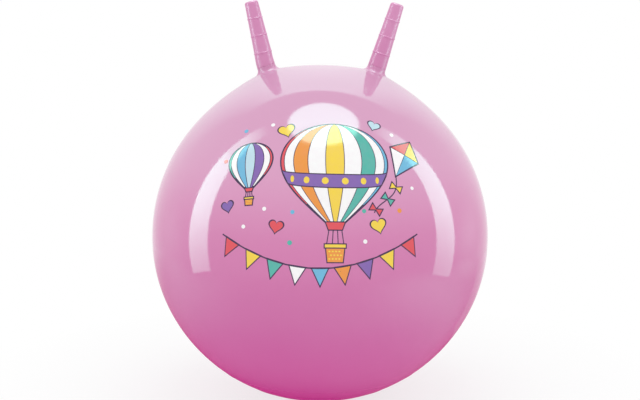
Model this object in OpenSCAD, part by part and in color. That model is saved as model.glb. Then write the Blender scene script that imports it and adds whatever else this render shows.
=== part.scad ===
// Hopper ball: a hollow soft-vinyl ball with two ribbed horn handles and an air valve.
// Sizes are in millimetres. The origin is on the ground under the middle of the ball,
// +Z is up, the horns stand along X and the printed front of the ball faces -Y.

/* [Ball] */
// Outside diameter of the inflated ball
ball_d = 500; // [440:5:560]
// Thickness of the ball's wall
ball_wall = 1; // [0.8:0.1:2]
// Diameter of the patch that the ball's weight presses flat on the ground
rest_d = 76; // [64:2:96]
// Height by which the ball's weight lifts its underside above a true round
sag = 3.75; // [2:0.25:5]
// Drop from the ball's middle to the circle where this flatter underside starts
sag_start = 60; // [40:5:80]

/* [Base rings] */
// Number of raised rings moulded round the base
ring_count = 3; // [1:1:4]
// Radius of the innermost ring, measured from the middle of the base
ring_first_r = 77; // [66:1:85]
// Step in radius from one ring to the next
ring_pitch = 37; // [20:1:42]
// Width of a ring where it leaves the ball
ring_w = 3; // [2:0.1:5]
// Height of a ring above the ball
ring_h = 0.5; // [0.4:0.1:1.2]

/* [Collars] */
// Angle from the top of the ball to the middle of the left collar
left_polar = 17.35; // [15:0.05:22]
// Angle from the top of the ball to the middle of the right collar
right_polar = 18.35; // [15:0.05:22]
// Height of the joint between collar and horn above the round of the ball
collar_h = 16; // [13:0.5:20]
// Angle from a collar's axis to the foot of its flare
flare_polar = 4.5; // [4.2:0.1:5.5]

/* [Shoulders] */
// Height to which the swell of the ball towards a collar would rise on the collar's axis
shoulder_h = 9.2; // [6:0.2:11]
// Angle from a collar's axis at which its swell would run out
shoulder_polar = 38; // [32:1:44]
// Depth to which the edge of the swell runs into the ball's wall
shoulder_sink = 0.4; // [0.3:0.05:0.6]
// Rise of the top of the ball between the collars
crown_h = 4.7; // [3:0.1:6]
// Radius of the crown that makes this rise
crown_r = 195; // [180:1:210]

/* [Horns] */
// Length of a horn from its joint to its tip
horn_len = 96; // [80:1:130]
// Diameter of a horn at its joint
horn_root_d = 27.2; // [25:0.2:32]
// Diameter of a horn at its tip
horn_tip_d = 19.6; // [16:0.2:24]
// Wall of a horn
horn_wall = 3.5; // [2.5:0.1:4.5]
// Radius that rounds the edge of a horn's flat tip
horn_tip_round = 3.5; // [1:0.5:5]
// Thickness of the floor that closes a horn's foot round its spigot
horn_foot_t = 3; // [2:0.5:6]
// Angle by which the left horn droops from its collar towards the middle
left_droop = 4.6; // [0:0.1:6]
// Angle by which the right horn droops from its collar towards the middle
right_droop = 0.5; // [0:0.1:6]

/* [Grip beads] */
// Number of raised beads round a horn
bead_count = 3; // [1:1:5]
// Distance from the joint to the first bead
bead_first = 19.7; // [14:0.1:24]
// Width of a bead where it leaves the horn
bead_w = 2.2; // [1.6:0.1:3]
// Height of a bead above the horn
bead_h = 0.7; // [0.4:0.1:1]

/* [Spigots] */
// Diameter of the spigot that seats a horn in its collar
spigot_d = 20; // [17:0.5:21]
// Wall of the spigot
spigot_wall = 3; // [2:0.5:4]
// Length by which the spigot reaches past the ball's wall
spigot_reach = 1; // [0.5:0.5:4]

/* [Valve] */
// Diameter of the air hole through the valve
valve_bore_d = 8.6; // [7:0.2:10]
// Wall of the valve's tube
valve_tube_wall = 3; // [2:0.5:4]
// Height of the valve's tube above the socket for the plug's head
valve_tube_h = 13; // [10:0.5:20]
// Wall round the socket for the plug's head
valve_neck_wall = 1.3; // [1:0.1:2]
// Thickness of the floor of the socket
valve_ledge_t = 2; // [1.5:0.5:3]
// Width of the flange that bonds the valve to the inside of the ball
valve_flange_w = 9; // [6:0.5:12]
// Thickness of the flange
valve_flange_t = 1.6; // [1.2:0.1:2.4]
// Distance from the ground up to the valve's mouth
valve_recess = 0.4; // [0.2:0.1:0.6]

/* [Plug] */
// Diameter of the plug's head
plug_head_d = 14.8; // [13:0.2:18]
// Thickness of the plug's head
plug_head_t = 2; // [1.6:0.1:3]
// Distance from the valve's mouth up to the plug's head
plug_recess = 0.5; // [0.3:0.1:1]
// Depth of the dish in the plug's head
plug_dish = 0.6; // [0.3:0.1:0.8]
// Width of the rim round the dish
plug_rim_w = 2.2; // [1.8:0.1:3]
// Radius of the notches for a fingernail in the rim
plug_notch_r = 1.3; // [0.8:0.1:1.6]
// Number of sealing rings on the plug's shank
plug_ring_count = 3; // [2:1:4]
// Height of a sealing ring above the shank
plug_ring_h = 0.3; // [0.2:0.05:0.4]
// Length by which the shank stands out of the valve's tube
plug_reach = 2; // [1:0.5:4]

/* [Clearances] */
// Film of bonding between pieces that are welded or glued together
bond_gap = 0.05; // [0.03:0.01:0.1]
// Gap round the plug's sealing rings
seal_gap = 0.05; // [0.03:0.01:0.09]
// Gap round and above the plug's head
head_gap = 0.3; // [0.2:0.05:0.4]

/* [Hidden] */

$fn = 128;
left_side = -1;
right_side = 1;
// Length by which a cutting shape runs past the face that it cuts
cut_over = 1;

ball_r = ball_d / 2;
rest_r = rest_d / 2;

// The flatter underside is part of a larger ball whose middle lies higher
under_rise = sag * (ball_d - sag) / (2 * (ball_r - sag - sag_start));
under_r = ball_r + under_rise - sag;
under_centre_z = sqrt(under_r * under_r - rest_r * rest_r);
ball_centre_z = under_centre_z - under_rise;

// Rise of a shoulder above the round of the ball at an angle from its collar's axis
function shoulder_rise(polar) = shoulder_h * pow(1 - polar / shoulder_polar, 3);
// Place on a swollen ball of radius r, seen from the joint: distance from the collar's axis and height
function shoulder_at(polar, r, rise) = [(r + rise) * sin(polar), (r + rise) * cos(polar) - ball_r - collar_h];

// Radius and sink of a round section that stands out by h and is w wide at the surface
function bead_section(w, h) = (h * h + w * w / 4) / (2 * h);
function bead_sink(w, h) = bead_section(w, h) - h;

horn_root_r = horn_root_d / 2;
horn_tip_r = horn_tip_d / 2;
horn_taper = atan((horn_root_r - horn_tip_r) / horn_len);
bead_pitch = (horn_len - bead_first) / bead_count;
function horn_r(z) = horn_root_r + (horn_tip_r - horn_root_r) * z / horn_len;

spigot_r = spigot_d / 2;
spigot_len = spigot_reach - shoulder_at(flare_polar, ball_r - ball_wall, shoulder_rise(flare_polar))[1];

// The flare of a collar is a fillet between the horn's side and the slope of the shoulder at its foot
flare_steps = 6;
flare_foot = shoulder_at(flare_polar, ball_r, shoulder_rise(flare_polar));
shoulder_slope = 3 * shoulder_h / (shoulder_polar * PI / 180) * pow(1 - flare_polar / shoulder_polar, 2);
flare_tilt = flare_polar + atan(shoulder_slope / (ball_r + shoulder_rise(flare_polar)));
flare_r = (flare_foot[0] - horn_root_r) / (1 - sin(flare_tilt));
flare_centre_z = flare_foot[1] + flare_r * cos(flare_tilt);

// Angles from a collar's axis at which the facets of a shoulder meet, and the angle of its edge
shoulder_polars = [7, 10, 14, 19];
shoulder_edge = 25.5;

tip_steps = 6;
tip_centre_z = horn_len - horn_tip_round;
tip_centre_r = horn_r(tip_centre_z) - horn_tip_round / cos(horn_taper);

socket_r = plug_head_d / 2 + head_gap;
neck_r = socket_r + valve_neck_wall;
valve_hole_r = neck_r + bond_gap;
valve_bore_r = valve_bore_d / 2;
tube_r = valve_bore_r + valve_tube_wall;
flange_r = valve_hole_r + valve_flange_w;
flange_top = ball_wall + valve_flange_t;
plug_head_z = valve_recess + plug_recess;
ledge_z = plug_head_z + plug_head_t + head_gap;
boss_top = max(ledge_z + valve_ledge_t, flange_top + valve_ledge_t);
tube_top = ledge_z + valve_tube_h;
plug_seal_r = valve_bore_r - seal_gap;
plug_shank_r = plug_seal_r - plug_ring_h;
plug_tip_z = tube_top + plug_reach;
plug_chamfer = plug_shank_r / 3;

// Places its children at a collar's joint, with +Z along the collar's axis
module on_collar(side) {
    polar = side == left_side ? left_polar : right_polar;
    translate([0, 0, ball_centre_z])
        rotate([0, side * polar, 0])
            translate([0, 0, ball_r + collar_h])
                children();
}

// The ball's form at a depth under its surface, with its flatter underside, cut flat at a height above the ground
module flat_footed_ball(depth, floor_z) {
    intersection() {
        translate([0, 0, ball_centre_z])
            rotate([0, 0, 90])
                sphere(r = ball_r - depth);
        translate([0, 0, under_centre_z])
            rotate([0, 0, 90])
                sphere(r = under_r - depth);
        translate([0, 0, floor_z])
            cylinder(r = ball_d, h = 2 * ball_d);
    }
}

// One raised ring at a distance r from the middle of the base
module base_ring(r) {
    polar = asin(r / under_r);
    middle_r = under_r - bead_sink(ring_w, ring_h);
    translate([0, 0, under_centre_z - middle_r * cos(polar)])
        rotate_extrude()
            translate([middle_r * sin(polar), 0])
                circle(r = bead_section(ring_w, ring_h));
}

// The swollen top of a ball of radius r round a collar, from the foot of the collar's flare out
function shoulder_profile(r) = concat(
    [for (polar = shoulder_polars) shoulder_at(polar, r, shoulder_rise(polar))],
    [shoulder_at(shoulder_edge, r, -shoulder_sink), [0, -ball_r / 2]]
);

// A flared collar with the shoulder that it stands on; its top is the joint at z = 0
module collar() {
    flare = [
        for (i = [0 : flare_steps])
            let (turn = (90 - flare_tilt) * i / flare_steps)
            [horn_root_r + flare_r * (1 - cos(turn)), flare_centre_z - flare_r * sin(turn)]
    ];
    rotate_extrude()
        polygon(concat([[0, 0], [horn_root_r, 0]], flare, shoulder_profile(ball_r)));
}

// The top of the ball between the collars, for a wall that lies a depth under the surface
module crown(depth) {
    translate([0, 0, ball_centre_z + ball_r + crown_h - crown_r])
        rotate([0, 0, 90])
            sphere(r = crown_r - depth);
}

// The air space inside the ball
module air_space() {
    r = ball_r - ball_wall;
    foot = shoulder_at(flare_polar, r, shoulder_rise(flare_polar));
    flat_footed_ball(ball_wall, ball_wall);
    crown(ball_wall);
    for (side = [left_side, right_side])
        on_collar(side)
            rotate_extrude()
                polygon(concat([[0, foot[1]], foot], shoulder_profile(r)));
}

module ball_shell() {
    color("#d88fbb")
    difference() {
        union() {
            flat_footed_ball(0, 0);
            crown(0);
            for (i = [0 : ring_count - 1])
                base_ring(ring_first_r + i * ring_pitch);
            for (side = [left_side, right_side])
                on_collar(side)
                    collar();
        }
        air_space();
        for (side = [left_side, right_side])
            on_collar(side)
                translate([0, 0, -spigot_len - cut_over])
                    cylinder(r = spigot_r + bond_gap, h = spigot_len + 2 * cut_over);
        translate([0, 0, -cut_over])
            cylinder(r = valve_hole_r, h = ball_wall + 2 * cut_over);
    }
}

// The tapered outside of a horn, with a rounded edge at its flat tip
module horn_body() {
    tip_edge = [
        for (i = [0 : tip_steps])
            let (turn = horn_taper + (90 - horn_taper) * i / tip_steps)
            [tip_centre_r + horn_tip_round * cos(turn), tip_centre_z + horn_tip_round * sin(turn)]
    ];
    start_z = -horn_foot_t;
    rotate_extrude()
        polygon(concat([[0, start_z], [horn_r(start_z), start_z]], tip_edge, [[0, horn_len]]));
    for (i = [0 : bead_count - 1]) {
        bead_z = bead_first + i * bead_pitch;
        rotate_extrude()
            translate([horn_r(bead_z) - bead_sink(bead_w, bead_h), bead_z])
                circle(r = bead_section(bead_w, bead_h));
    }
}

// The air space inside a horn
module horn_cavity() {
    end_z = horn_len - horn_wall;
    translate([0, 0, horn_foot_t])
        cylinder(r1 = horn_r(horn_foot_t) - horn_wall, r2 = horn_r(end_z) - horn_wall, h = end_z - horn_foot_t);
}

// A horn whose drooping body is cut square to its collar and carries the spigot
module horn(side, droop) {
    lean = [0, -side * droop, 0];
    on_collar(side)
    difference() {
        union() {
            intersection() {
                rotate(lean)
                    horn_body();
                cylinder(r = horn_len, h = 2 * horn_len);
            }
            translate([0, 0, -spigot_len])
                cylinder(r = spigot_r, h = spigot_len + horn_foot_t / 2);
        }
        rotate(lean)
            horn_cavity();
        translate([0, 0, -spigot_len - cut_over])
            cylinder(r = spigot_r - spigot_wall, h = spigot_len + 2 * horn_foot_t + cut_over);
    }
}

module left_horn() {
    color("#d0639f")
    horn(left_side, left_droop);
}

module right_horn() {
    color("#d0639f")
    horn(right_side, right_droop);
}

module valve_seat() {
    color("#f2ece8")
    rotate_extrude()
        polygon([
            [socket_r, valve_recess],
            [neck_r, valve_recess],
            [neck_r, ball_wall],
            [flange_r, ball_wall],
            [flange_r, ball_wall + valve_flange_t / 2],
            [neck_r + valve_flange_t, flange_top],
            [neck_r, boss_top],
            [tube_r, boss_top + valve_ledge_t],
            [tube_r, tube_top],
            [valve_bore_r, tube_top],
            [valve_bore_r, ledge_z],
            [socket_r, ledge_z]
        ]);
}

// The plug's revolved form without its sealing rings and notches
module plug_body() {
    head_r = plug_head_d / 2;
    dish_r = head_r - plug_rim_w;
    head_top = plug_head_z + plug_head_t;
    edge = plug_dish / 2;
    rotate_extrude()
        polygon([
            [0, plug_head_z + plug_dish],
            [dish_r - plug_dish, plug_head_z + plug_dish],
            [dish_r, plug_head_z],
            [head_r - edge, plug_head_z],
            [head_r, plug_head_z + edge],
            [head_r, head_top],
            [plug_shank_r, head_top],
            [plug_shank_r, plug_tip_z - plug_chamfer],
            [plug_shank_r - plug_chamfer, plug_tip_z],
            [0, plug_tip_z]
        ]);
}

module valve_plug() {
    ring_step = valve_tube_h / (plug_ring_count + 1);
    ring_section = 2 * plug_ring_h;
    color("#fbf8f4")
    difference() {
        union() {
            plug_body();
            for (i = [1 : plug_ring_count])
                rotate_extrude()
                    translate([plug_seal_r - ring_section, ledge_z + i * ring_step])
                        circle(r = ring_section);
        }
        for (side = [left_side, right_side])
            translate([side * plug_head_d / 2, 0, plug_head_z - cut_over])
                cylinder(r = plug_notch_r, h = plug_head_t / 2 + cut_over);
    }
}

ball_shell();
left_horn();
right_horn();
valve_seat();
valve_plug();
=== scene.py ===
"""Looks of a hopper ball: glossy vinyl skin, ribbed horns, air valve and a printed front."""

import math

import bmesh
import bpy
from mathutils import Matrix, Vector
from mathutils.geometry import delaunay_2d_cdt


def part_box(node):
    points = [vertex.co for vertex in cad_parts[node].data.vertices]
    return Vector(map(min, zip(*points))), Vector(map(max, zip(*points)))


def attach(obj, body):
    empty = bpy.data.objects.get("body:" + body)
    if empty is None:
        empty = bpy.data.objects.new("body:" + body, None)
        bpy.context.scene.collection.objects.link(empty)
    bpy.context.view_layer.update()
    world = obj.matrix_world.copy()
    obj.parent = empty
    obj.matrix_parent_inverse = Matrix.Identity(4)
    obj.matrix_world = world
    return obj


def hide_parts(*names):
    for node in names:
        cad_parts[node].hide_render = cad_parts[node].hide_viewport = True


bl_info = {
    "name": "Hopper ball",
    "version": (1, 0, 0),
    "blender": (4, 5, 0),
    "location": "3D View > Sidebar > Hopper ball",
    "description": "Builds the looks of a hopper ball round its packed frame",
    "category": "Object",
}

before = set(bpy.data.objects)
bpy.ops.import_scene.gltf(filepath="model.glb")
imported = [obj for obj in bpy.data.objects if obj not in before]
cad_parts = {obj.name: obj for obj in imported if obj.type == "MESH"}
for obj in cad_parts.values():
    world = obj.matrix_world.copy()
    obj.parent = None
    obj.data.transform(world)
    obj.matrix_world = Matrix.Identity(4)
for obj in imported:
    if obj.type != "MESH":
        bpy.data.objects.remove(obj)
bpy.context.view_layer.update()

MM = 0.001
LEFT, RIGHT = -1, 1
SHELL_LOW, SHELL_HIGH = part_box("ball_shell")


def length(name, description, millimetres):
    """A size that a user may change, given in millimetres and kept in metres."""
    return bpy.props.FloatProperty(
        name=name, description=description, default=millimetres * MM, min=0.0, precision=5, unit="LENGTH"
    )


def angle(name, description, degrees):
    """An angle that a user may change, given in degrees."""
    return bpy.props.FloatProperty(
        name=name, description=description, default=math.radians(degrees), subtype="ANGLE"
    )


def number(name, description, default):
    """A plain number that a user may change."""
    return bpy.props.FloatProperty(name=name, description=description, default=default)


def count(name, description, default):
    """A count that a user may change."""
    return bpy.props.IntProperty(name=name, description=description, default=default, min=1)


def srgb(red, green, blue):
    """The linear colour of an 8-bit screen colour."""
    def linear(value):
        share = value / 255
        return share / 12.92 if share <= 0.04045 else ((share + 0.055) / 1.055) ** 2.4

    return linear(red), linear(green), linear(blue)


def colour(name, description, red, green, blue):
    """A colour that a user may change, given as an 8-bit screen colour."""
    return bpy.props.FloatVectorProperty(
        name=name, description=description, default=srgb(red, green, blue),
        size=3, min=0.0, max=1.0, subtype="COLOR",
    )


class HopperBallSizes(bpy.types.PropertyGroup):
    """Sizes of the ball, its collars, its base rings and its valve hole."""

    ball_diameter: length(
        "Ball diameter", "Outside diameter of the inflated ball", round((SHELL_HIGH.x - SHELL_LOW.x) / MM)
    )
    ball_wall: length("Ball wall", "Thickness of the ball's wall", 1.0)
    rest_diameter: length("Resting patch", "Diameter of the patch pressed flat on the ground", 76.0)
    rest_blend: length("Resting blend", "How softly the ball rolls over into its resting patch", 0.5)
    sag: length("Sag", "Height by which the ball's weight lifts its underside above a true round", 3.75)
    sag_start: length("Sag start", "Drop from the ball's middle to where the underside flattens", 60.0)
    sag_blend: length("Sag blend", "How softly the ball rolls over into its flatter underside", 1.0)
    ring_count: count("Base rings", "Number of raised rings round the base", 3)
    ring_first_radius: length("First ring", "Radius of the innermost base ring", 77.0)
    ring_pitch: length("Ring pitch", "Step in radius from one base ring to the next", 37.0)
    ring_width: length("Ring width", "Width of a base ring over its soft foot", 3.6)
    ring_height: length("Ring height", "Height of a base ring above the ball", 0.3)
    left_polar: angle("Left collar", "Angle from the top of the ball to the left collar", 17.35)
    right_polar: angle("Right collar", "Angle from the top of the ball to the right collar", 18.35)
    collar_height: length("Collar height", "Height of the joint above the round of the ball", 16.0)
    flare_polar: angle("Flare foot", "Angle from a collar's axis to the foot of its flare", 4.5)
    shoulder_height: length("Shoulder height", "Height of the ball's swell, taken to a collar's axis", 9.2)
    shoulder_merge: number("Shoulder merging", "How far the two swells lift the top between them", 1.4)
    shoulder_polar: angle("Shoulder edge", "Angle from a collar's axis to the edge of its swell", 38.0)
    collar_bore: length("Collar bore", "Diameter of the bore that takes a horn's spigot", 20.1)
    valve_hole: length("Valve hole", "Diameter of the hole for the valve seat", 18.1)


class HopperHornSizes(bpy.types.PropertyGroup):
    """Sizes of the horns."""

    length: length("Length", "Length of a horn from its joint to its tip", 96.0)
    root_diameter: length("Root diameter", "Diameter at the joint", 27.2)
    tip_diameter: length("Tip diameter", "Diameter at the tip", 19.6)
    tip_round: length("Tip rounding", "Radius round the edge of the tip", 3.5)
    tip_crown: length("Tip crown", "Rise of the middle of the tip above its edge", 0.5)
    wall: length("Wall", "Wall of a horn", 3.5)
    foot: length("Foot", "Thickness of the floor round the spigot", 3.0)
    spigot_diameter: length("Spigot diameter", "Diameter of the spigot in the collar", 20.0)
    spigot_wall: length("Spigot wall", "Wall of the spigot", 3.0)
    spigot_length: length("Spigot length", "Length of the spigot", 12.5)
    joint_groove: length("Joint groove", "Rounding of the edges that meet at the joint", 0.6)
    bead_count: count("Beads", "Number of raised beads round a horn", 3)
    bead_first: length("First bead", "Distance from the joint to the first bead", 19.7)
    bead_width: length("Bead width", "Width of a bead over its soft foot", 3.0)
    bead_height: length("Bead height", "Height of a bead above the horn", 0.7)
    left_droop: angle("Left droop", "Lean of the left horn from its collar to the middle", 4.6)
    right_droop: angle("Right droop", "Lean of the right horn from its collar to the middle", 0.5)


class HopperPrintSizes(bpy.types.PropertyGroup):
    """Place and thickness of the print on the front."""

    elevation: angle("Elevation", "Height of the print's middle above the ball's equator", 23.0)
    film: length("Film", "Thickness of the lowest layer of ink", 0.06)
    film_step: length("Film step", "Thickness of each further layer of ink", 0.04)
    mesh_step: length("Mesh step", "Longest edge of the ink's mesh", 5.0)
    outline: length("Outline", "Width of the dark outlines", 1.5)


class HopperColours(bpy.types.PropertyGroup):
    """Colours of the vinyl, the inks, the valve and the floor, with painted light in the ball's colours and
    the floor's pink.
    """

    # The six ball colours are painted light, not the vinyl's own thickness: paler towards the top for the
    # sheen of the light from above, and deeper towards the base for light through the vinyl, lifted a little
    # against the shade under the ball
    ball_base: colour("Ball, base", "Vinyl at the base, where it is thickest", 213, 80, 165)
    ball_low: colour("Ball, low", "Vinyl above the base", 211, 102, 168)
    ball_lower: colour("Ball, lower", "Vinyl of the lower half", 208, 115, 171)
    ball_middle: colour("Ball, middle", "Vinyl at the equator", 218, 134, 183)
    ball_upper: colour("Ball, upper", "Vinyl of the upper half", 223, 161, 198)
    ball_top: colour("Ball, top", "Vinyl near the top, where it is thinnest", 213, 156, 191)
    horn: colour("Horn", "Vinyl of the horns", 217, 140, 187)
    horn_pale: colour("Horn, pale", "Cloudy patches in the vinyl of the horns", 224, 157, 198)
    valve: colour("Valve", "Plastic of the valve seat and plug", 240, 236, 230)
    floor: colour("Floor", "Studio floor", 244, 244, 244)
    # Painted light: a pink that the floor near the ball glows with in reflections, standing in for light
    # through the ball and its shade on the floor
    floor_painted_glow: colour("Floor, near", "Light that falls through the ball on the floor round it", 198, 54, 132)
    ink_outline: colour("Outline ink", "Dark outline ink", 56, 42, 78)
    ink_white: colour("White ink", "White ink", 255, 255, 255)
    ink_pale_blue: colour("Pale blue ink", "Pale blue ink", 196, 228, 240)
    ink_yellow: colour("Yellow ink", "Yellow ink", 251, 218, 75)
    ink_orange: colour("Orange ink", "Orange ink", 243, 156, 66)
    ink_coral: colour("Coral ink", "Coral ink", 232, 84, 92)
    ink_teal: colour("Teal ink", "Teal ink", 84, 186, 172)
    ink_sky: colour("Sky ink", "Sky blue ink", 110, 190, 226)
    ink_violet: colour("Violet ink", "Violet ink", 134, 104, 180)


class HopperStage(bpy.types.PropertyGroup):
    """Camera and light."""

    camera_distance: length("Camera distance", "From the camera to the middle of the ball", 1797.0)
    camera_elevation: angle("Camera elevation", "Height of the camera above the ball's equator", 11.4)
    lens: number("Lens", "Focal length in millimetres on a 36 mm sensor", 67.2)
    drop_px: number("Drop in the picture", "Pixels from the picture's middle down to the ball's middle", 35.2)
    fill: number("Fill", "Strength of the even light from all round", 0.9)
    key: number("Key", "Radiance of the overhead softbox as a lamp", 0.5)
    floor_glow: number("Floor glow", "Radiance of the light that the floor throws up", 0.12)
    key_glint: number("Key glint", "Radiance of the overhead softbox in reflections", 8.3)
    strip_glint: number("Strip glint", "Radiance of the side strips in reflections", 9.0)
    back_glint: number("Back glint", "Radiance of the panel behind the ball in reflections", 1.85)
    bounce_glint: number("Bounce glint", "Radiance of the reflectors on the floor in reflections", 0.85)


DOWN = Vector((0, 0, -1))
# Shading follows the whole swell near a collar's axis and only a share of it far away
SHADE_NEAR = math.radians(9.0)
SHADE_FAR = math.radians(20.0)
SHADE_SHARE = 0.25
# Step over which the slope of the swell is taken, as a share of the ball's radius
SLOPE_STEP = 1e-3


def spaced(start, stop, steps):
    """Evenly spaced values from start to stop, both included."""
    return [start + (stop - start) * i / steps for i in range(steps + 1)]


def clamped(share):
    """A share kept between 0 and 1."""
    return min(max(share, 0.0), 1.0)


def off_axis(place):
    """Angle of a place from the +Z axis, seen from the origin."""
    return math.atan2(math.hypot(place.x, place.y), place.z)


def bead_rise(away, height):
    """Rise of a soft bead at a distance from its middle, as a share of its half width."""
    return height * (1 + math.cos(math.pi * away)) / 2 if away < 1 else 0.0


def arc(middle_r, middle_h, radius, start, stop, steps):
    """Arc in a section, as (radius, height) pairs round a middle."""
    turns = spaced(start, stop, steps)
    return [(middle_r + radius * math.cos(t), middle_h + radius * math.sin(t)) for t in turns]


class BallForm:
    """Places on the ball, in metres, worked out from its sizes."""

    def __init__(self, sizes):
        self.sizes = sizes
        self.radius = sizes.ball_diameter / 2
        self.inner_radius = self.radius - sizes.ball_wall
        room = 2 * (self.radius - sizes.sag - sizes.sag_start)
        self.under_rise = sizes.sag * (sizes.ball_diameter - sizes.sag) / room
        self.under_radius = self.radius + self.under_rise - sizes.sag
        under_z = math.sqrt(self.under_radius**2 - (sizes.rest_diameter / 2) ** 2)
        self.centre_z = under_z - self.under_rise
        self.centre = Vector((0, 0, self.centre_z))
        self.place = Matrix.Translation(self.centre)
        self.collar_axes = [self.collar_place(side).to_3x3().col[2].copy() for side in (LEFT, RIGHT)]
        self.ring_angles = [
            self.under_angle(sizes.ring_first_radius + i * sizes.ring_pitch) for i in range(sizes.ring_count)
        ]

    def collar_place(self, side):
        """Frame with its origin at the ball's middle and +Z along a collar's axis."""
        polar = self.sizes.left_polar if side == LEFT else self.sizes.right_polar
        return self.place @ Matrix.Rotation(side * polar, 4, "Y")

    def under_angle(self, distance):
        """Angle from the bottom, seen from the ball's middle, of a circle on the underside."""
        drop = math.sqrt(self.under_radius**2 - distance**2) - self.under_rise
        return math.atan2(distance, drop)

    def flattening(self, polar):
        """How far the ball's underside lies inside a true round at an angle from the bottom."""
        across = self.under_rise * math.sin(polar)
        reach = math.sqrt(self.under_radius**2 - across**2) - self.under_rise * math.cos(polar)
        depth = self.radius - reach
        blend = self.sizes.sag_blend
        if depth > blend:
            return depth
        return max(0.0, depth + blend) ** 2 / (4 * blend)

    def shoulder_rise(self, polar):
        """Height of a shoulder above the round ball at an angle from its collar's axis."""
        return self.sizes.shoulder_height * max(0.0, 1 - polar / self.sizes.shoulder_polar) ** 3

    def shoulder(self, polar, radius):
        """Distance from a collar's axis and height along it where a shoulder swells a ball of that radius."""
        reach = radius + self.shoulder_rise(polar)
        return reach * math.sin(polar), reach * math.cos(polar)

    def flare(self, side_radius):
        """Radius and middle of the flare that touches the shoulder at its foot and a side of that radius."""
        polar = self.sizes.flare_polar
        foot_r, foot_h = self.shoulder(polar, self.radius)
        edge = self.sizes.shoulder_polar
        slope = 3 * self.sizes.shoulder_height / edge * (1 - polar / edge) ** 2
        tilt = polar + math.atan(slope / (self.radius + self.shoulder_rise(polar)))
        fillet = (foot_r - side_radius) / (1 - math.sin(tilt))
        return fillet, foot_r + fillet * math.sin(tilt), foot_h + fillet * math.cos(tilt)

    def bulge(self, direction):
        """Height of both shoulders and of the top between them above the round ball in a direction."""
        left, right = (self.shoulder_rise(direction.angle(axis)) for axis in self.collar_axes)
        return left + right + self.sizes.shoulder_merge * math.sqrt(left * right)

    def swell(self, direction):
        """Height of the ball's surface above a true round in a direction from its middle."""
        return self.bulge(direction) - self.flattening(direction.angle(DOWN))

    def swell_normal(self, direction):
        """Outward normal of the swollen ball in a direction, eased towards the round far from a collar."""
        nearest = min(direction.angle(axis) for axis in self.collar_axes)
        away = clamped((nearest - SHADE_NEAR) / (SHADE_FAR - SHADE_NEAR))
        share = 1 - (1 - SHADE_SHARE) * away * away * (3 - 2 * away)

        def height(place):
            return share * self.bulge(place) - self.flattening(place.angle(DOWN))

        across = direction.orthogonal().normalized()
        along = direction.cross(across)
        normal = direction * (self.radius + self.swell(direction))
        for tangent in (across, along):
            ahead = height((direction + tangent * SLOPE_STEP).normalized())
            behind = height((direction - tangent * SLOPE_STEP).normalized())
            normal -= tangent * ((ahead - behind) / (2 * SLOPE_STEP))
        return normal.normalized()

    def on_ground(self, height, ground):
        """Lifts a height above the ball's middle softly off the ground."""
        above = height + self.centre_z - ground
        lifted = (above + math.hypot(above, self.sizes.rest_blend)) / 2
        return lifted + ground - self.centre_z

    def ring_rise(self, polar):
        """Height of the base rings at an angle from the bottom of the ball."""
        half_angle = self.sizes.ring_width / 2 / self.radius
        height = self.sizes.ring_height
        return sum(bead_rise(abs(polar - ring) / half_angle, height) for ring in self.ring_angles)

    def outside(self, polar):
        """Radius and height of the outer surface at an angle from the bottom."""
        reach = self.radius - self.flattening(polar) + self.ring_rise(polar)
        return reach * math.sin(polar), self.on_ground(-reach * math.cos(polar), 0.0)

    def inside(self, polar):
        """Radius and height of the inner surface at an angle from the bottom."""
        reach = self.inner_radius - self.flattening(polar)
        height = self.on_ground(-reach * math.cos(polar), self.sizes.ball_wall)
        return reach * math.sin(polar), height


def revolve(bm, profile, sides, place):
    """Turns (radius, height) pairs round the Z axis of place; a radius of 0 makes a pole."""
    rings = []
    for radius, height in profile:
        spokes = 1 if radius == 0 else sides
        turns = [2 * math.pi * i / spokes for i in range(spokes)]
        rings.append([
            bm.verts.new(place @ Vector((radius * math.cos(t), radius * math.sin(t), height))) for t in turns
        ])
    for near, far in zip(rings, rings[1:]):
        for i in range(sides):
            k = (i + 1) % sides
            corners = (near[i % len(near)], near[k % len(near)], far[k % len(far)], far[i % len(far)])
            bm.faces.new(list(dict.fromkeys(corners)))
    return rings


def in_polygon(point, polygon):
    """True if a 2D point lies inside a closed polygon."""
    inside = False
    x, y = point
    for (x0, y0), (x1, y1) in zip(polygon, polygon[1:] + polygon[:1]):
        if (y0 > y) != (y1 > y) and x < (x1 - x0) * (y - y0) / (y1 - y0) + x0:
            inside = not inside
    return inside


def middle_of(face, points):
    """Middle of a flat face, given by the numbers of its corners."""
    return sum((points[i] for i in face), Vector((0, 0))) / len(face)


def new_piece(bm, name, material, replaced=()):
    """Turns a bmesh into a smooth piece that rides on the ball's body."""
    bmesh.ops.recalc_face_normals(bm, faces=bm.faces)
    mesh = bpy.data.meshes.new(name)
    bm.to_mesh(mesh)
    bm.free()
    mesh.materials.append(material)
    mesh.shade_smooth()
    piece = bpy.data.objects.new(name, mesh)
    bpy.context.scene.collection.objects.link(piece)
    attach(piece, "ball")
    if replaced:
        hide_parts(*replaced)
    return piece


# Numbers of a mix node's sockets for colours
MIX_SHARE, MIX_FIRST, MIX_SECOND = 0, 6, 7
MIX_RESULT = 2


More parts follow.
